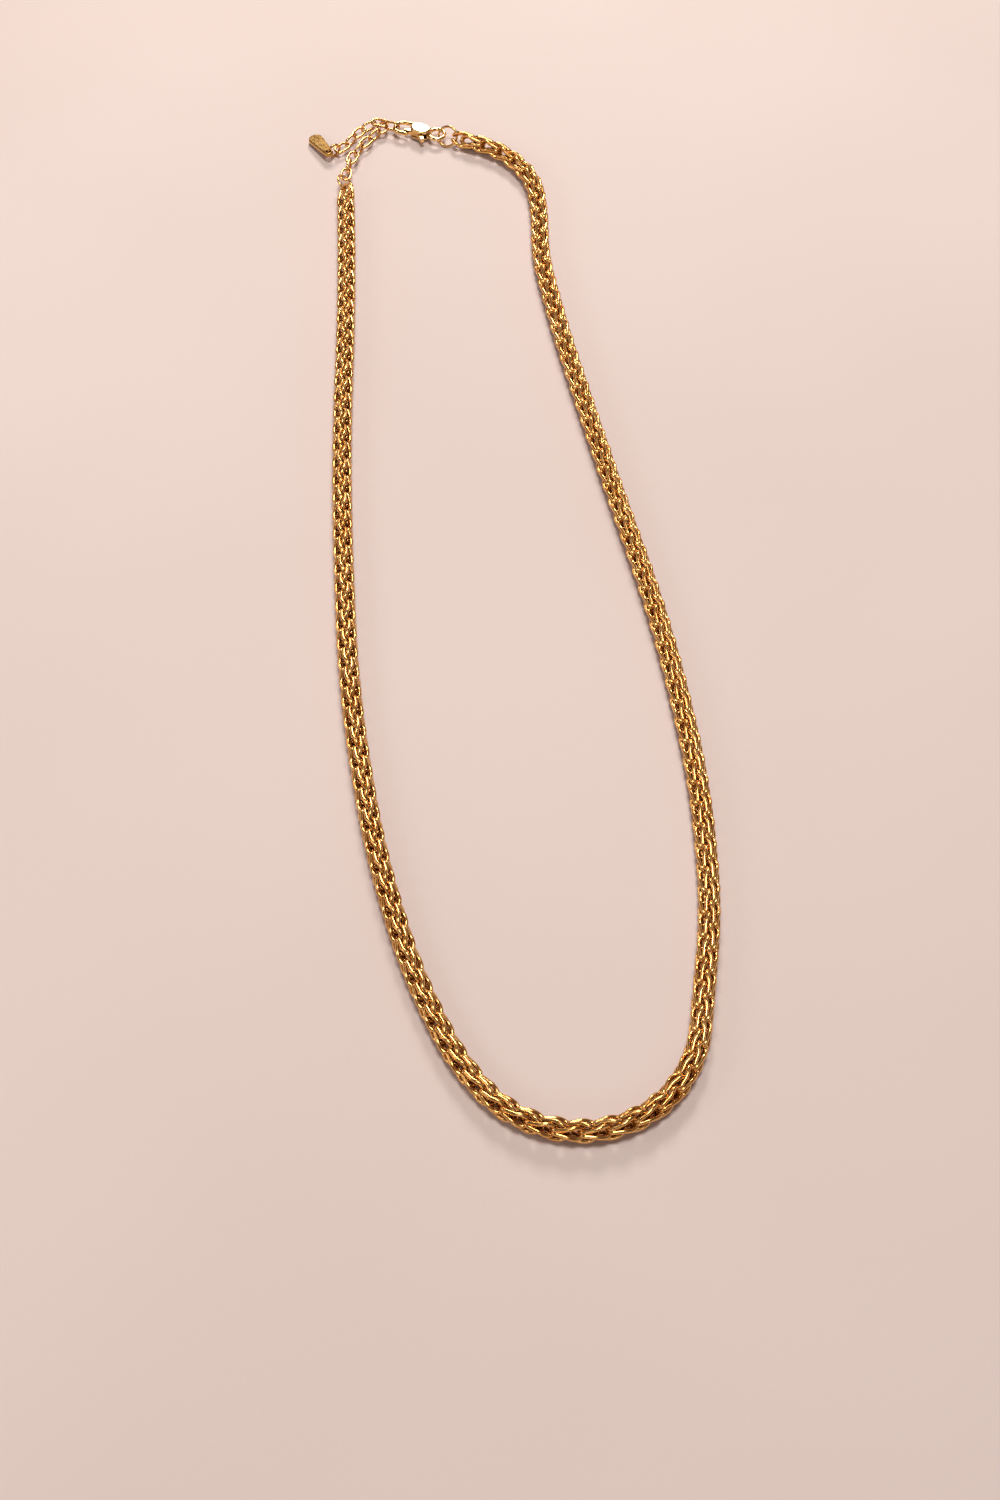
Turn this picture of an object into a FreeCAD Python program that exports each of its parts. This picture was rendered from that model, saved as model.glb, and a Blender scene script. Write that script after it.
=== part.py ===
import FreeCAD, Part
import math
import os

os.makedirs("parts", exist_ok=True)

V = FreeCAD.Vector
UP = V(0, 0, 1)

# Wheat chain: closed wire loops, each one threaded through the two ears of the loop before it
CHAIN_WIRE = 0.52          # wire diameter
CHAIN_STEP = 2.0           # from one loop to the next along the chain
CHAIN_HEIGHT = 1.75        # height of the chain's middle line
CHAIN_ROLL = 45.0          # degrees: the two families of loops lie at plus and minus this
LOOP_MIDDLE = 1.95         # the loop's own height that sits on its place along the chain
# a quarter of the loop, from the pinched waist up to the ear's tip
LOOP_QUARTER = [
    (0.60, 0.35, -0.55), (1.45, 0.35, -0.10), (1.35, 0.45, 1.00), (1.45, 0.30, 2.35),
    (1.05, 0.90, 3.05), (1.00, 1.15, 3.85), (0.65, 0.50, 4.50),
]
# the way the chain lies on the table, from its left end round the front to its right end
ROUTE = [
    (-29.5, 90.0), (-28.0, 63.5), (-27.5, 18.5), (-24.0, -31.0), (-18.5, -62.0), (-12.0, -83.5),
    (-5.0, -98.0), (2.5, -106.5), (13.5, -109.5), (24.0, -106.0), (30.5, -97.5), (32.0, -87.0),
    (34.0, -71.5), (33.5, -49.0), (29.0, -18.0), (20.5, 17.0), (12.5, 52.5), (9.0, 72.0),
    (9.0, 84.0), (8.0, 94.0), (1.5, 102.5), (-8.0, 106.0),
]
CENTRE = V(1.15, -0.74, 0)  # moves the necklace so that its box stands centred on the origin

# The chain is cut into stretches that move as one. Cuts are counted in loops from the left end.
STRETCHES = ["arm_1", "arm_2", "fold_1a", "fold_1b", "arm_3", "fold_2a", "fold_2b",
             "arm_4", "fold_3a", "fold_3b", "arm_5"]
LEFT_CUTS = [76, 60, 46, 42, 38, 28, 24, 20, 12, 8, 4, 0]
RIGHT_CUTS = [144, 160, 166, 170, 174, 184, 188, 192, 200, 204, 208, 224]
SWAY_CUTS = 2              # the first two cuts of each arm turn sideways, the others fold

# End rings
RING_RADIUS = 1.95
RING_WIRE = 0.5
RING_OUT = 3.4             # from the last loop's place to the ring's centre
RING_HEIGHT = 1.7          # height of each ring's far side
RING_IN_LINK = 0.2         # from that far side to the bend of the first extender link

# Extender: oval cable links, upright and flat ones in turn
LINK_WIRE = 0.5
LINK_HALF_LENGTH = 1.65    # to the wire's middle
LINK_HALF_WIDTH = 0.95     # to the wire's middle
LINK_PLAY = 0.08           # running clearance where two links pull on each other
USED_HEIGHTS = [1.65, 1.5, 1.38, 1.28, 1.2, 1.2]
HOOKED_HEIGHT = 1.6        # height of the link that the clasp holds, and of the clasp
STACK = 0.28               # the two flat links in the hooked link lie this far below and above it
STACK_REACH = 1.80         # from an upright link's centre to a bend it shares with a stacked link
TAIL_REACH = 1.85          # from the centre of link 10 to the bend of link 11
TAIL_SLACK = 0.02          # link 12 is drawn this much less tight than the used links
USED_HEADINGS = [84.0, 79.0, 71.0, 62.0, 58.0]      # links 1 to 5; 6 and 7 close the run
TAIL_HEADINGS = [165.0, 214.0, 236.0, 234.0, 225.0]  # links 9 to 13
TAIL_HEIGHTS = [HOOKED_HEIGHT + STACK, 1.6, 1.4, 1.25, 1.2]

# Lobster clasp, in its own frame: x from the hook's wire to the eye, y to the gate's far side
CLASP_HEADING = -15.0
CLASP_LENGTH = 8.8         # from the hook's wire to the middle of the eye
HOOK_TUBE = 0.42
HOOK_IN_LINK = 0.90        # from the hooked link's centre to the hook's wire
EYE_RADIUS = 1.55
EYE_TUBE = 0.40
EYE_PAST_RING = 0.40       # from the right ring's far side to the middle of the eye
BODY_HALF_THICKNESS = 1.15
SLOT_HALF = 0.58
LEVER_HALF = 0.50
BODY_EDGE = 0.4            # rounding of the body's rims
LEVER_EDGE = 0.12          # rounding of the lever's rims
SPRING_HALF = 0.4
PIVOT = V(5.0, -0.7, 0)
PIN_RADIUS = 0.25
PIN_PLAY = 0.05

# Tag on the tail
TAG_RING_RADIUS = 1.3
TAG_RING_WIRE = 0.5
TAG_RING_HEADING = 215.0
TAG_RING_LIFT = 0.35       # its centre's height above the last link's
TAG_RING_PLAY = 0.05       # from the last link's bend to the ring's near side
TAG_HEADING = 121.0
TAG_LENGTH = 7.0           # from its hole to its far end
TAG_THICKNESS = 0.9
TAG_HOLE = 0.55            # radius
TAG_EDGE = 0.3             # rounding of its rims
TAG_NARROW = 0.95          # radius of the end with the hole
TAG_WIDE = 1.5             # radius of the far end
TAG_DROP = 7.0             # degrees: the far end lies lower than the hole


def heading(degrees):
    """Level unit vector at an angle from +X."""
    return V(math.cos(math.radians(degrees)), math.sin(math.radians(degrees)), 0)


def half_turn(point):
    """The point turned by 180 degrees about Z."""
    return V(-point.x, -point.y, point.z)


def rounded(points, first, last):
    """Wire that rounds the corners first to last - 1 of a closed outline, from mid-edge to mid-edge."""
    count = len(points)
    edges = []
    for i in range(first, last):
        before, corner, after = points[i - 1], points[i % count], points[(i + 1) % count]
        start = (before + corner) * 0.5
        end = (corner + after) * 0.5
        reach = min((start - corner).Length, (end - corner).Length)
        back = (before - corner).normalize()
        forth = (after - corner).normalize()
        half = math.acos(max(-1.0, min(1.0, back.dot(forth)))) / 2
        inward = (back + forth).normalize()
        middle = corner + inward * (reach / math.cos(half) - reach * math.tan(half))
        enter, leave = corner + back * reach, corner + forth * reach
        if (start - enter).Length > 1e-6:
            edges.append(Part.LineSegment(start, enter).toShape())
        edges.append(Part.Arc(enter, middle, leave).toShape())
        if (end - leave).Length > 1e-6:
            edges.append(Part.LineSegment(leave, end).toShape())
    return Part.Wire(edges)


def tube(wire, radius):
    """Round wire swept along a path of straight runs and arcs."""
    edge = wire.OrderedEdges[0]
    start = edge.valueAt(edge.FirstParameter)
    along = edge.tangentAt(edge.FirstParameter)
    sweep = Part.BRepOffsetAPI.MakePipeShell(wire)
    sweep.setFrenetMode(False)
    sweep.add(Part.Wire([Part.makeCircle(radius, start, along)]))
    sweep.build()
    sweep.makeSolid()
    return sweep.shape()


def closed_tube(half, radius):
    """Closed loop of wire: a half outline, and the same again turned by 180 degrees about Z."""
    points = half + [half_turn(p) for p in half]
    side = tube(rounded(points, 0, len(half)), radius)
    other = side.copy()
    other.rotate(V(0, 0, 0), UP, 180)
    return side.fuse(other).removeSplitter().Solids[0]


def placed(shape, origin, x_axis, z_axis):
    """Copy of a shape with its own origin, X and Z moved to these."""
    y_axis = z_axis.cross(x_axis)
    matrix = FreeCAD.Matrix(
        x_axis.x, y_axis.x, z_axis.x, origin.x,
        x_axis.y, y_axis.y, z_axis.y, origin.y,
        x_axis.z, y_axis.z, z_axis.z, origin.z,
        0, 0, 0, 1,
    )
    copy = shape.copy()
    copy.Placement = FreeCAD.Placement(matrix).multiply(copy.Placement)
    return copy


def export(name, *solids):
    """One sub-part, one file."""
    shape = solids[0] if len(solids) == 1 else Part.makeCompound(list(solids))
    shape.exportStep(f"parts/{name}.step")
    print(name, len(shape.Solids), "solids", "valid" if shape.isValid() else "NOT VALID")


def route_pieces():
    """The route as straight runs and tangent arcs: (start, direction, length, turn radius)."""
    points = [V(x, y, 0) + CENTRE for x, y in ROUTE]
    last = len(points) - 2
    pieces = []
    for i in range(1, last + 1):
        into = points[i] - points[i - 1]
        out = points[i + 1] - points[i]
        before = into.Length * (1.0 if i == 1 else 0.5)
        after = out.Length * (1.0 if i == last else 0.5)
        into.normalize()
        out.normalize()
        reach = min(before, after)
        turn = math.atan2(into.cross(out).z, into.dot(out))
        radius = reach / math.tan(abs(turn) / 2)
        pieces.append((points[i] - into * before, into, before - reach, 0.0))
        pieces.append((points[i] - into * reach, into, radius * abs(turn), math.copysign(radius, turn)))
        pieces.append((points[i] + out * reach, out, after - reach, 0.0))
    return [piece for piece in pieces if piece[2] > 1e-9]


PIECES = route_pieces()


def on_route(distance):
    """Point and direction at a distance along the route."""
    for start, along, length, radius in PIECES:
        if distance <= length:
            break
        distance -= length
    if radius == 0.0:
        return start + along * distance, along
    side = UP.cross(along)
    angle = distance / radius
    point = start + side * radius + (along * math.sin(angle) - side * math.cos(angle)) * radius
    return point, along * math.cos(angle) + side * math.sin(angle)


def loop_frame(number):
    """Place of one chain loop: its point on the route, its direction and its own X."""
    point, along = on_route((number + 0.5) * CHAIN_STEP)
    side = UP.cross(along)
    angle = math.radians(CHAIN_ROLL + 90 * number)
    return point + UP * CHAIN_HEIGHT, along, side * math.cos(angle) + UP * math.sin(angle)


def cut_point(number):
    """The hinge point of the cut before this loop."""
    point, _ = on_route(number * CHAIN_STEP)
    return point + UP * CHAIN_HEIGHT


def chain_loop():
    """One loop of the wheat chain, its ears towards +Z."""
    quarter = [V(*point) for point in LOOP_QUARTER]
    mirrored = [V(p.x, -p.y, p.z) for p in reversed(quarter)]
    loop = closed_tube(quarter + mirrored, CHAIN_WIRE / 2)
    loop.translate(V(0, 0, -LOOP_MIDDLE))
    return loop


def chain_stretch(loop, first, last):
    """Loops first to last - 1, each in its place."""
    solids = []
    for number in range(first, last):
        point, along, across = loop_frame(number)
        solids.append(placed(loop, point, across, along))
    return solids


def end_ring(number, way):
    """Ring through the chain's last loop (way 1) or first (-1), its far point and its way out."""
    point, along, across = loop_frame(number)
    out = along * way
    lower = math.asin((CHAIN_HEIGHT - RING_HEIGHT) / (RING_OUT + RING_RADIUS))
    out = out * math.cos(lower) - UP * math.sin(lower)
    across = across if way > 0 else out.cross(across)
    normal = out.cross(across).normalize()
    ring = Part.makeTorus(RING_RADIUS, RING_WIRE / 2, point + out * RING_OUT, normal)
    return ring, point + out * (RING_OUT + RING_RADIUS), V(out.x, out.y, 0).normalize()


def oval_link():
    """One extender link, flat, long along X."""
    corner = V(LINK_HALF_LENGTH, LINK_HALF_WIDTH, 0)
    return closed_tube([corner, V(corner.x, -corner.y, 0)], LINK_WIRE / 2)


def put_link(link, bend, degrees, reach, upright, height):
    """Extender link whose centre lies reach past a bend, upright or flat."""
    along = heading(degrees)
    centre = V(bend.x, bend.y, height) + along * reach
    flat_up = heading(degrees + 90) * -1 if upright else UP
    return placed(link, centre, along, flat_up)


BEND = LINK_HALF_LENGTH - LINK_HALF_WIDTH        # from a flat link's centre to its bend's centre
REACH = LINK_HALF_LENGTH - LINK_WIRE - LINK_PLAY + LINK_HALF_WIDTH  # upright link's centre to it


def close_run(start, end, first_length, second_length):
    """Headings of two links that join two points, bowed to the left of the way."""
    way = end - start
    cosine = (first_length ** 2 + way.Length ** 2 - second_length ** 2) / (2 * first_length * way.Length)
    first = math.degrees(math.atan2(way.y, way.x) - math.acos(cosine))
    rest = end - (start + heading(first) * first_length)
    return first, math.degrees(math.atan2(rest.y, rest.x))


def used_run(link, start, end):
    """Links 1 to 7, from the left ring to the hooked link; odd links lie flat."""
    lengths = [2 * REACH if i % 2 else 2 * BEND for i in range(7)]
    bend = start + heading(USED_HEADINGS[0]) * RING_IN_LINK
    point = bend
    for degrees, length in zip(USED_HEADINGS, lengths):
        point = point + heading(degrees) * length
    headings = USED_HEADINGS + list(close_run(point, end, lengths[5], lengths[6]))
    heights = USED_HEIGHTS + [HOOKED_HEIGHT - STACK]
    for i, degrees in enumerate(headings):
        piece = put_link(link, bend, degrees, lengths[i] / 2, i % 2 == 1, heights[i])
        export(f"extender_link_{i + 1:02d}", piece)
        bend = bend + heading(degrees) * lengths[i]


def tail_run(link, start):
    """Links 9 to 13, the tail that hangs from the hooked link; odd links lie flat."""
    bends = [start]
    flat = 2 * BEND
    lengths = [flat, STACK_REACH + TAIL_REACH, flat, 2 * REACH - TAIL_SLACK, flat]
    reaches = [BEND, STACK_REACH, BEND, REACH - TAIL_SLACK, BEND]
    for i, degrees in enumerate(TAIL_HEADINGS):
        upright = i % 2 == 1
        piece = put_link(link, bends[-1], degrees, reaches[i], upright, TAIL_HEIGHTS[i])
        export(f"extender_link_{i + 9:02d}", piece)
        bends.append(bends[-1] + heading(degrees) * lengths[i])
    return bends


def clasp_hook():
    """Hook of the clasp: a tube from the body round the front to the tip."""
    path = [V(7.0, 0.6, 0), V(5.0, 1.35, 0), V(2.6, 1.75, 0), V(0, 1.55, 0), V(0, -1.45, 0), V(2.7, -1.5, 0)]
    edges = [Part.LineSegment(path[0], (path[0] + path[1]) * 0.5).toShape()]
    edges += rounded(path, 1, len(path) - 1).OrderedEdges
    edges.append(Part.LineSegment((path[-2] + path[-1]) * 0.5, path[-1]).toShape())
    hook = tube(Part.Wire(edges), HOOK_TUBE)
    tip = Part.makeSphere(HOOK_TUBE, path[-1])
    return hook.fuse(tip)


def plate(outline, half_thickness):
    """Flat plate with this outline, half above and half below the middle plane."""
    points = [V(x, y, -half_thickness) for x, y in outline]
    face = Part.Face(Part.makePolygon(points + points[:1]))
    return face.extrude(V(0, 0, 2 * half_thickness))


def clasp_body():
    """Cast body: two cheeks round the lever's slot, the hook in front and the eye behind."""
    shell = plate([(3.3, 0.9), (3.3, -0.35), (4.0, -1.35), (5.6, -1.75), (6.9, -1.25), (7.6, -0.3),
                   (7.6, 0.35), (6.6, 1.15), (4.8, 1.6)], BODY_HALF_THICKNESS)
    rims = [e for e in shell.Edges if abs(e.CenterOfMass.z) > BODY_HALF_THICKNESS - 0.01]
    shell = shell.makeFillet(BODY_EDGE, rims)
    slot = plate([(3.0, 0.55), (3.0, -2.4), (7.0, -2.4), (7.0, 0.2), (6.4, 0.55)], SLOT_HALF)
    bore = Part.makeCylinder(PIN_RADIUS, 4, PIVOT - UP * 2)
    eye = Part.makeTorus(EYE_RADIUS, EYE_TUBE, V(CLASP_LENGTH, 0, 0), UP)
    return shell.cut(slot).fuse([clasp_hook().cut(slot), eye]).cut(bore)


def clasp_trigger():
    """Lever: its nose closes the hook from inside, its tab stands out of the slot."""
    lever = plate([(2.15, -0.98), (2.15, -0.45), (3.6, -0.15), (5.0, -0.1), (5.8, -0.6), (6.8, -2.5),
                   (6.3, -2.9), (5.2, -1.7), (4.6, -1.3), (3.2, -1.0)], LEVER_HALF)
    hole = Part.makeCylinder(PIN_RADIUS + PIN_PLAY, 4, PIVOT - UP * 2)
    rims = [e for e in lever.Edges if abs(e.CenterOfMass.z) > LEVER_HALF - 0.01]
    return lever.makeFillet(LEVER_EDGE, rims).cut(hole)


def clasp_pin():
    """Rivet that the lever turns on, flush with the two cheeks."""
    return Part.makeCylinder(PIN_RADIUS, 2 * BODY_HALF_THICKNESS, PIVOT - UP * BODY_HALF_THICKNESS)


def clasp_spring():
    """Leaf spring along the slot's back wall, above the lever."""
    return plate([(6.2, 0.52), (3.9, 0.52), (3.9, 0.44), (5.0, 0.30), (6.2, 0.44)], SPRING_HALF)


def tag_body():
    """Long drop with a hole, flat in X and Y, its hole at the origin."""
    far = TAG_LENGTH - TAG_WIDE
    lean = math.asin((TAG_WIDE - TAG_NARROW) / far)
    across = V(-math.sin(lean), math.cos(lean), 0)
    near_top, far_top = across * TAG_NARROW, V(far, 0, 0) + across * TAG_WIDE
    edges = [
        Part.LineSegment(near_top, far_top).toShape(),
        Part.Arc(far_top, V(TAG_LENGTH, 0, 0), V(far_top.x, -far_top.y, 0)).toShape(),
        Part.LineSegment(V(far_top.x, -far_top.y, 0), V(near_top.x, -near_top.y, 0)).toShape(),
        Part.Arc(V(near_top.x, -near_top.y, 0), V(-TAG_NARROW, 0, 0), near_top).toShape(),
    ]
    tag = Part.Face(Part.Wire(edges)).extrude(UP * TAG_THICKNESS)
    tag.translate(UP * (-TAG_THICKNESS / 2))
    rims = [e for e in tag.Edges if abs(e.CenterOfMass.z) > TAG_THICKNESS / 2 - 0.01]
    tag = tag.makeFillet(TAG_EDGE, rims)
    return tag.cut(Part.makeCylinder(TAG_HOLE, 4, V(0, 0, -2)))


def build_chain():
    """Every stretch of the wheat chain, and the hinge point of each cut."""
    loop = chain_loop()
    export("chain_front", *chain_stretch(loop, LEFT_CUTS[0], RIGHT_CUTS[0]))
    for i, name in enumerate(STRETCHES):
        export(f"chain_left_{name}", *chain_stretch(loop, LEFT_CUTS[i + 1], LEFT_CUTS[i]))
        export(f"chain_right_{name}", *chain_stretch(loop, RIGHT_CUTS[i], RIGHT_CUTS[i + 1]))
        left, right = cut_point(LEFT_CUTS[i]), cut_point(RIGHT_CUTS[i])
        if i == SWAY_CUTS - 1:
            right = cut_point(RIGHT_CUTS[0]) + left - cut_point(LEFT_CUTS[0])
        print("cut", name, *[round(v, 4) for v in (*left, *right)])


def build_back():
    """Rings, extender, clasp and tag."""
    left_ring, left_far, _ = end_ring(0, -1)
    right_ring, right_far, right_out = end_ring(RIGHT_CUTS[-1] - 1, 1)
    export("left_end_ring", left_ring)
    export("right_end_ring", right_ring)

    along = heading(CLASP_HEADING)
    eye = right_far + right_out * EYE_PAST_RING
    hook = V(eye.x, eye.y, HOOKED_HEIGHT) - along * CLASP_LENGTH
    hooked = hook - along * HOOK_IN_LINK
    shared_bend = V(hooked.x, hooked.y, 0) - along * STACK_REACH
    for name, shape in (("clasp_body", clasp_body()), ("clasp_trigger", clasp_trigger()),
                        ("clasp_pivot_pin", clasp_pin()), ("clasp_spring", clasp_spring())):
        export(name, placed(shape, hook, along, UP))

    link = oval_link()
    used_run(link, V(left_far.x, left_far.y, 0), shared_bend)
    export("extender_link_08", put_link(link, hooked, CLASP_HEADING, 0, True, HOOKED_HEIGHT))
    bends = tail_run(link, shared_bend)

    out = heading(TAG_RING_HEADING)
    height = TAIL_HEIGHTS[-1] + TAG_RING_LIFT
    ring_centre = V(bends[-1].x, bends[-1].y, height) + out * (TAG_RING_RADIUS + TAG_RING_PLAY)
    side = heading(TAG_RING_HEADING + 90)
    export("tag_ring", Part.makeTorus(TAG_RING_RADIUS, TAG_RING_WIRE / 2, ring_centre, side))
    hole = ring_centre + out * TAG_RING_RADIUS
    drop = math.radians(TAG_DROP)
    tag_x = heading(TAG_HEADING) * math.cos(drop) - UP * math.sin(drop)
    tag_z = heading(TAG_HEADING) * math.sin(drop) + UP * math.cos(drop)
    export("end_tag", placed(tag_body(), hole, tag_x, tag_z))

    pivot = hook + along * PIVOT.x + heading(CLASP_HEADING + 90) * PIVOT.y
    for name, point in (("left_far", left_far), ("right_far", right_far), ("hook", hook),
                        ("shared_bend", shared_bend), ("tail_bend", bends[3]), ("tail_end", bends[4]),
                        ("trigger", pivot), ("tag_hole", hole)):
        print("pivot", name, *[round(v, 4) for v in point])


build_chain()
build_back()
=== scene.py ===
import math

import bpy
import numpy as np
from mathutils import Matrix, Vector


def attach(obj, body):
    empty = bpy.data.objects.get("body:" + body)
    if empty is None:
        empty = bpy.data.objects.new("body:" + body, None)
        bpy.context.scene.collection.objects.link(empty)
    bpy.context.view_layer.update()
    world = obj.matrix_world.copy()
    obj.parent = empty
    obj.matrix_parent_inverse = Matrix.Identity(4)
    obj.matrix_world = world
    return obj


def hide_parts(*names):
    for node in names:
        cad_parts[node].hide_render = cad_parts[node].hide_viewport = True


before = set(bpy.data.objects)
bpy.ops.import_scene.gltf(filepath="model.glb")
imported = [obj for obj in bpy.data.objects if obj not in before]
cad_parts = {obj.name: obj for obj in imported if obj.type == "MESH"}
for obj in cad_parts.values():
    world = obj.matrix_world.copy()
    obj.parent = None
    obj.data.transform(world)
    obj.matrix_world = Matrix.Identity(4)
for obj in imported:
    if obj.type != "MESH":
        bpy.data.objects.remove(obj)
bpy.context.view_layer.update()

MM = 0.001

# Wheat chain, in millimetres. The loops are drawn fuller than the CAD loops, which keep clearance.
STEP = 2.0                # from one loop to the next
CHAIN_HEIGHT = 1.82       # height of the chain's middle line
CHAIN_ROLL = 45.0         # degrees: the two families of loops lie at plus and minus this
LOOP_MIDDLE = 1.95        # the loop's own height that sits on its place along the chain
LOOP_WIRE = 0.68          # wire diameter
# a quarter of the loop, from the pinched waist up to the ear's tip
LOOP_QUARTER = [
    (0.45, 0.28, -0.55), (1.10, 0.26, -0.15), (1.20, 0.42, 0.80), (1.40, 0.58, 1.95),
    (1.16, 0.94, 2.85), (0.84, 0.80, 3.65), (0.42, 0.34, 4.10),
]
POINTS_PER_CORNER = 4
SIDES = 10                # of the wire's section
CENTRE = (1.15, -0.74)    # moves the route so that the necklace's box is centred
# the way the chain lies, from its left end round the front to its right end
ROUTE = [
    (-29.5, 90.0), (-28.0, 63.5), (-27.5, 18.5), (-24.0, -31.0), (-18.5, -62.0), (-12.0, -83.5),
    (-5.0, -98.0), (2.5, -106.5), (13.5, -109.5), (24.0, -106.0), (30.5, -97.5), (32.0, -87.0),
    (34.0, -71.5), (33.5, -49.0), (29.0, -18.0), (20.5, 17.0), (12.5, 52.5), (9.0, 72.0),
    (9.0, 84.0), (8.0, 94.0), (1.5, 102.5), (-8.0, 106.0),
]
# stretches that move as one, and their cuts, counted in loops from the left end
STRETCHES = ["arm_1", "arm_2", "fold_1a", "fold_1b", "arm_3", "fold_2a", "fold_2b",
             "arm_4", "fold_3a", "fold_3b", "arm_5"]
LEFT_CUTS = [76, 60, 46, 42, 38, 28, 24, 20, 12, 8, 4, 0]
RIGHT_CUTS = [144, 160, 166, 170, 174, 184, 188, 192, 200, 204, 208, 224]

# Camera, in millimetres and degrees
CAMERA_PLACE = (CENTRE[0] + 1.2, CENTRE[1] - 223.0, 278.0)
CAMERA_DOWN = 56.85       # below the horizon
SENSOR_HEIGHT = 36.0
CAMERA_LENS = 48.552

# Square soft lights: name, place and target in millimetres, size in millimetres, power, colour
LIGHTS = [
    ("key_light", (20, 580, 430), (0, 40, 0), 170, 2.6, (1.0, 0.97, 0.93)),
    ("sky_light", (60, 40, 1500), (0, 0, 0), 420, 12.0, (1.0, 0.98, 0.96)),
    ("side_light", (-420, -60, 260), (0, 0, 0), 160, 0.30, (1.0, 0.95, 0.90)),
    ("front_light", (-150, -900, 520), (0, 0, 0), 300, 0.7, (1.0, 0.96, 0.92)),
]
FLOOR_SIZE = 6.0          # metres
HORIZON_TONE = (0.66, 0.56, 0.51)         # of the world behind the lights
OVERHEAD_TONE = (0.13, 0.105, 0.095)

GAP_SHADE_TONE = (0.16, 0.065, 0.015)   # painted shade: the gold's base colour darkened in the gaps between wires, where shade falls
GAP_SHADE_REACH = 0.0011                # metres: how far a neighbouring wire reaches when painting shade into a gap
# golds by what they cover: warm tone, pale tone, roughness from and to, strength of the rub marks
GOLDS = {
    "chain": ((0.74, 0.355, 0.09), (0.89, 0.53, 0.19), (0.17, 0.28), 0.05),
    "link": ((0.78, 0.40, 0.12), (0.90, 0.57, 0.23), (0.17, 0.28), 0.05),
    "clasp": ((0.86, 0.52, 0.18), (0.94, 0.66, 0.30), (0.12, 0.20), 0.10),
    "tag": ((0.55, 0.29, 0.08), (0.72, 0.44, 0.15), (0.20, 0.34), 0.20),
}

# ---------------------------------------------------------------- the chain's path

def route_pieces():
    """The route as straight runs and tangent arcs: (start, direction, length, turn radius)."""
    points = [np.array(p) + CENTRE for p in ROUTE]
    last = len(points) - 2
    pieces = []
    for i in range(1, last + 1):
        into, out = points[i] - points[i - 1], points[i + 1] - points[i]
        before = np.linalg.norm(into) * (1.0 if i == 1 else 0.5)
        after = np.linalg.norm(out) * (1.0 if i == last else 0.5)
        into, out = into / np.linalg.norm(into), out / np.linalg.norm(out)
        reach = min(before, after)
        turn = math.atan2(into[0] * out[1] - into[1] * out[0], into @ out)
        radius = reach / math.tan(abs(turn) / 2)
        pieces.append((points[i] - into * before, into, before - reach, 0.0))
        pieces.append((points[i] - into * reach, into, radius * abs(turn), math.copysign(radius, turn)))
        pieces.append((points[i] + out * reach, out, after - reach, 0.0))
    return [piece for piece in pieces if piece[2] > 1e-9]


def on_route(pieces, distance):
    """Point and direction at a distance along the route."""
    for start, along, length, radius in pieces:
        if distance <= length:
            break
        distance -= length
    if radius == 0.0:
        return start + along * distance, along
    side = np.array((-along[1], along[0]))
    angle = distance / radius
    point = start + side * radius + (along * math.sin(angle) - side * math.cos(angle)) * radius
    return point, along * math.cos(angle) + side * math.sin(angle)


def loop_matrix(pieces, number):
    """Rows X, Y, Z of one loop's own frame, and its place."""
    point, along = on_route(pieces, (number + 0.5) * STEP)
    along = np.array((along[0], along[1], 0.0))
    up = np.array((0.0, 0.0, 1.0))
    side = np.cross(up, along)
    angle = math.radians(CHAIN_ROLL + 90 * number)
    x_axis = side * math.cos(angle) + up * math.sin(angle)
    rows = np.array((x_axis, np.cross(along, x_axis), along))
    return rows, np.array((point[0], point[1], CHAIN_HEIGHT))


# ---------------------------------------------------------------- one loop of wire

def smooth_closed(corners, per_corner):
    """Points of the closed quadratic B-spline over these corners."""
    before, after = np.roll(corners, 1, axis=0), np.roll(corners, -1, axis=0)
    points = []
    for a, b, c in zip(before, corners, after):
        for step in range(per_corner):
            t = step / per_corner
            points.append(0.5 * (1 - t) ** 2 * a + (0.5 + t * (1 - t)) * b + 0.5 * t * t * c)
    return np.array(points)


def ring_frames(points):
    """Two normals at each point of a closed path, turned evenly so that the last meets the first."""
    along = np.roll(points, -1, axis=0) - np.roll(points, 1, axis=0)
    along /= np.linalg.norm(along, axis=1)[:, None]
    normal = np.cross(along[0], (0.0, 0.0, 1.0))
    normals = []
    for direction in np.vstack([along, along[:1]]):
        normal = normal - direction * (normal @ direction)
        normal = normal / np.linalg.norm(normal)
        normals.append(normal)
    off = math.atan2(np.cross(normals[-1], normals[0]) @ along[0], normals[-1] @ normals[0])
    first = []
    for i, direction in enumerate(along):
        turn = off * i / len(along)
        side = np.cross(direction, normals[i])
        first.append(normals[i] * math.cos(turn) + side * math.sin(turn))
    first = np.array(first)
    return first, np.cross(along, first)


def loop_tube():
    """Vertices and faces of one wheat loop in its own frame."""
    quarter = np.array(LOOP_QUARTER)
    half = np.vstack([quarter, quarter[::-1] * (1, -1, 1)])
    corners = np.vstack([half, half * (-1, -1, 1)]) - (0, 0, LOOP_MIDDLE)
    path = smooth_closed(corners, POINTS_PER_CORNER)
    first, second = ring_frames(path)
    angles = np.arange(SIDES) * 2 * math.pi / SIDES
    rings = [path + (first * math.cos(a) + second * math.sin(a)) * LOOP_WIRE / 2 for a in angles]
    vertices = np.stack(rings, axis=1).reshape(-1, 3)
    count = len(path)
    faces = []
    for i in range(count):
        for j in range(SIDES):
            k, n = (j + 1) % SIDES, (i + 1) % count
            faces.append((i * SIDES + j, i * SIDES + k, n * SIDES + k, n * SIDES + j))
    return vertices, np.array(faces)


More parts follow.
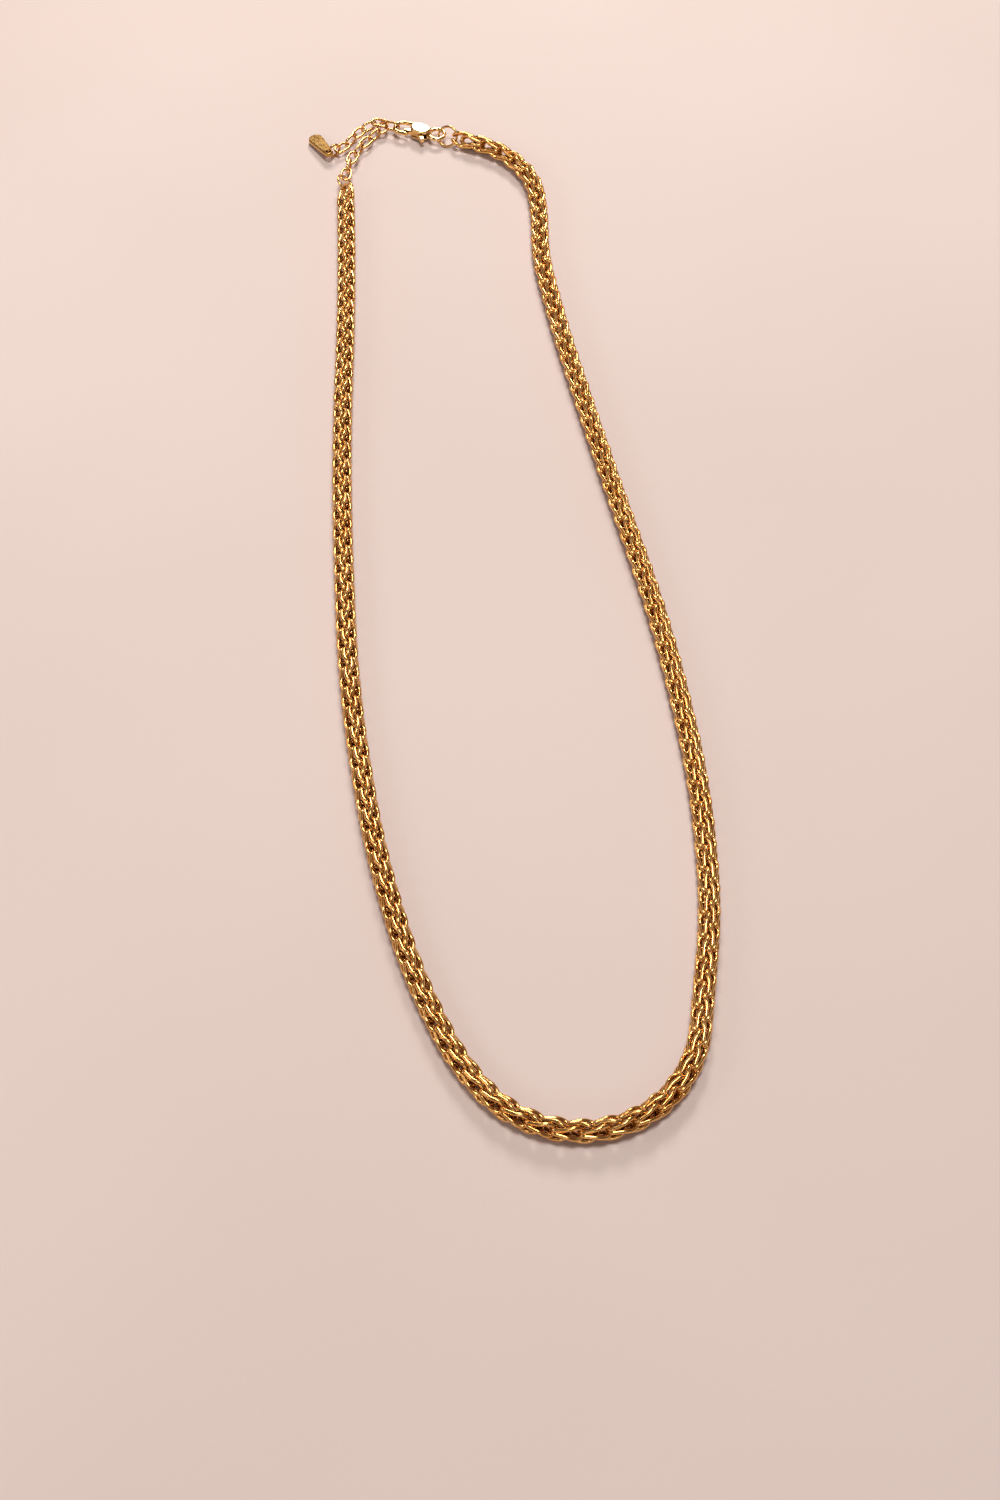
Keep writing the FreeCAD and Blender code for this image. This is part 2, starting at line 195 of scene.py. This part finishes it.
def chain_piece(node, numbers, tube, pieces, material):
    """Smooth wire loops in place of one stretch of the chain."""
    vertices, faces = tube
    places, polygons = [], []
    for count, number in enumerate(numbers):
        rows, origin = loop_matrix(pieces, number)
        places.append((vertices @ rows + origin) * MM)
        polygons.append(faces + count * len(vertices))
    mesh = bpy.data.meshes.new(node + "_wire")
    mesh.from_pydata(np.vstack(places).tolist(), [], np.vstack(polygons).tolist())
    mesh.shade_smooth()
    mesh.materials.append(material)
    piece = bpy.data.objects.new(node + "_wire", mesh)
    bpy.context.scene.collection.objects.link(piece)
    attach(piece, node)
    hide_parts(node)


# ---------------------------------------------------------------- materials

def node_of(tree, kind, **values):
    """New shader node with these input values, by input name."""
    node = tree.nodes.new(kind)
    for name, value in values.items():
        node.inputs[name.replace("_", " ")].default_value = value
    return node


def colour_ramp(tree, low, low_tone, high, high_tone):
    """Ramp from one tone to another between two positions."""
    ramp = tree.nodes.new("ShaderNodeValToRGB")
    first, last = ramp.color_ramp.elements
    first.position, first.color = low, (*low_tone, 1)
    last.position, last.color = high, (*high_tone, 1)
    return ramp


def gold(kind):
    """Polished gold plating: tone drifts along the wire, painted shade in the gaps between wires, fine
    rub marks.
    """
    warm, pale, (rough_low, rough_high), dent = GOLDS[kind]
    material = bpy.data.materials.new(kind + "_gold_look")
    material.use_nodes = True
    tree = material.node_tree
    link = tree.links.new
    shader = tree.nodes["Principled BSDF"]
    shader.inputs["Metallic"].default_value = 1.0
    shader.inputs["Coat Weight"].default_value = 0.05
    shader.inputs["Coat Roughness"].default_value = 0.08
    place = tree.nodes.new("ShaderNodeTexCoord")

    drift = node_of(tree, "ShaderNodeTexNoise", Scale=260.0, Detail=3.0, Roughness=0.55)
    link(place.outputs["Object"], drift.inputs["Vector"])
    tones = colour_ramp(tree, 0.30, warm, 0.72, pale)
    link(drift.outputs["Fac"], tones.inputs["Fac"])

    # painted shade: the base colour is darkened toward the gap tone wherever other wires lie close,
    # standing in for the shade between wires
    gap_shade = node_of(tree, "ShaderNodeAmbientOcclusion", Distance=GAP_SHADE_REACH)
    gap_shade.samples = 8
    shade = node_of(tree, "ShaderNodeMapRange", From_Min=0.12, From_Max=0.62)
    link(gap_shade.outputs["AO"], shade.inputs["Value"])
    mix = tree.nodes.new("ShaderNodeMix")
    mix.data_type = "RGBA"
    # a colour mix has its factor at 0, its two colours at 6 and 7, and its result at 2
    mix.inputs[6].default_value = (*GAP_SHADE_TONE, 1)
    link(shade.outputs["Result"], mix.inputs[0])
    link(tones.outputs["Color"], mix.inputs[7])
    link(mix.outputs[2], shader.inputs["Base Color"])

    rub = node_of(tree, "ShaderNodeTexNoise", Scale=1400.0, Detail=4.0, Roughness=0.6)
    link(place.outputs["Object"], rub.inputs["Vector"])
    rough = node_of(tree, "ShaderNodeMapRange", From_Min=0.3, From_Max=0.7, To_Min=rough_low,
                    To_Max=rough_high)
    link(rub.outputs["Fac"], rough.inputs["Value"])
    link(rough.outputs["Result"], shader.inputs["Roughness"])

    bump = node_of(tree, "ShaderNodeBump", Strength=dent, Distance=0.00005)
    link(rub.outputs["Fac"], bump.inputs["Height"])
    link(bump.outputs["Normal"], shader.inputs["Normal"])
    return material


def spring_steel():
    """Brushed steel for the spring inside the clasp."""
    material = bpy.data.materials.new("spring_steel_look")
    material.use_nodes = True
    tree = material.node_tree
    shader = tree.nodes["Principled BSDF"]
    shader.inputs["Metallic"].default_value = 1.0
    grain = node_of(tree, "ShaderNodeTexNoise", Scale=2500.0, Detail=3.0)
    tones = colour_ramp(tree, 0.0, (0.42, 0.42, 0.43), 1.0, (0.62, 0.62, 0.63))
    tree.links.new(grain.outputs["Fac"], tones.inputs["Fac"])
    tree.links.new(tones.outputs["Color"], shader.inputs["Base Color"])
    rough = node_of(tree, "ShaderNodeMapRange", To_Min=0.25, To_Max=0.45)
    tree.links.new(grain.outputs["Fac"], rough.inputs["Value"])
    tree.links.new(rough.outputs["Result"], shader.inputs["Roughness"])
    return material


def floor_material():
    """Pale warm paper, with a faint change of tone and a fine tooth."""
    material = bpy.data.materials.new("pale_paper")
    material.use_nodes = True
    tree = material.node_tree
    shader = tree.nodes["Principled BSDF"]
    shader.inputs["Roughness"].default_value = 0.8
    place = tree.nodes.new("ShaderNodeTexCoord")
    cloud = node_of(tree, "ShaderNodeTexNoise", Scale=9.0, Detail=2.0)
    tree.links.new(place.outputs["Object"], cloud.inputs["Vector"])
    tones = colour_ramp(tree, 0.35, (0.735, 0.605, 0.560), 0.65, (0.765, 0.635, 0.590))
    tree.links.new(cloud.outputs["Fac"], tones.inputs["Fac"])
    tree.links.new(tones.outputs["Color"], shader.inputs["Base Color"])
    tooth = node_of(tree, "ShaderNodeTexNoise", Scale=1800.0, Detail=2.0)
    tree.links.new(place.outputs["Object"], tooth.inputs["Vector"])
    bump = node_of(tree, "ShaderNodeBump", Strength=0.15, Distance=0.0001)
    tree.links.new(tooth.outputs["Fac"], bump.inputs["Height"])
    tree.links.new(bump.outputs["Normal"], shader.inputs["Normal"])
    return material


def dress(node, material):
    """Puts a material on a CAD node that stays in view."""
    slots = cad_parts[node].data.materials
    for i in range(len(slots)):
        slots[i] = material
    if not slots:
        slots.append(material)


# ---------------------------------------------------------------- studio

def area_light(name, place, target, size, power, colour):
    """Square soft light at a place, in millimetres, facing a target."""
    light = bpy.data.lights.new(name, "AREA")
    light.size = size * MM
    light.energy = power
    light.color = colour
    lamp = bpy.data.objects.new(name, light)
    lamp.location = Vector(place) * MM
    lamp.rotation_euler = (Vector(target) - Vector(place)).to_track_quat("-Z", "Y").to_euler()
    bpy.context.scene.collection.objects.link(lamp)


def studio():
    """Floor, lights, world and camera."""
    bpy.ops.mesh.primitive_plane_add(size=FLOOR_SIZE)
    floor = bpy.context.object
    floor.name = "floor"
    floor.data.materials.append(floor_material())

    for light in LIGHTS:
        area_light(*light)

    world = bpy.data.worlds.new("studio_world")
    world.use_nodes = True
    tree = world.node_tree
    way = tree.nodes.new("ShaderNodeTexCoord")
    split = tree.nodes.new("ShaderNodeSeparateXYZ")
    sky = colour_ramp(tree, 0.04, HORIZON_TONE, 0.40, OVERHEAD_TONE)
    tree.links.new(way.outputs["Generated"], split.inputs["Vector"])
    tree.links.new(split.outputs["Z"], sky.inputs["Fac"])
    tree.links.new(sky.outputs["Color"], tree.nodes["Background"].inputs["Color"])
    bpy.context.scene.world = world
    bpy.context.scene.view_settings.view_transform = "Standard"

    camera = bpy.data.cameras.new("camera")
    camera.lens = CAMERA_LENS
    camera.sensor_fit = "VERTICAL"
    camera.sensor_height = SENSOR_HEIGHT
    camera.clip_start = 0.01
    holder = bpy.data.objects.new("camera", camera)
    holder.location = Vector(CAMERA_PLACE) * MM
    holder.rotation_euler = (math.radians(90 - CAMERA_DOWN), 0, 0)
    bpy.context.scene.collection.objects.link(holder)
    bpy.context.scene.camera = holder


# ---------------------------------------------------------------- the necklace

chain_gold = gold("chain")
link_gold = gold("link")
clasp_gold = gold("clasp")
tag_gold = gold("tag")

route = route_pieces()
tube = loop_tube()
chain_piece("chain_front", range(LEFT_CUTS[0], RIGHT_CUTS[0]), tube, route, chain_gold)
for i, stretch in enumerate(STRETCHES):
    left = range(LEFT_CUTS[i + 1], LEFT_CUTS[i])
    right = range(RIGHT_CUTS[i], RIGHT_CUTS[i + 1])
    chain_piece("chain_left_" + stretch, left, tube, route, chain_gold)
    chain_piece("chain_right_" + stretch, right, tube, route, chain_gold)

steel = spring_steel()
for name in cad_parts:
    if name == "clasp_spring":
        dress(name, steel)
    elif name.startswith("clasp"):
        dress(name, clasp_gold)
    elif name == "end_tag":
        dress(name, tag_gold)
    elif not name.startswith("chain_"):
        dress(name, link_gold)

studio()
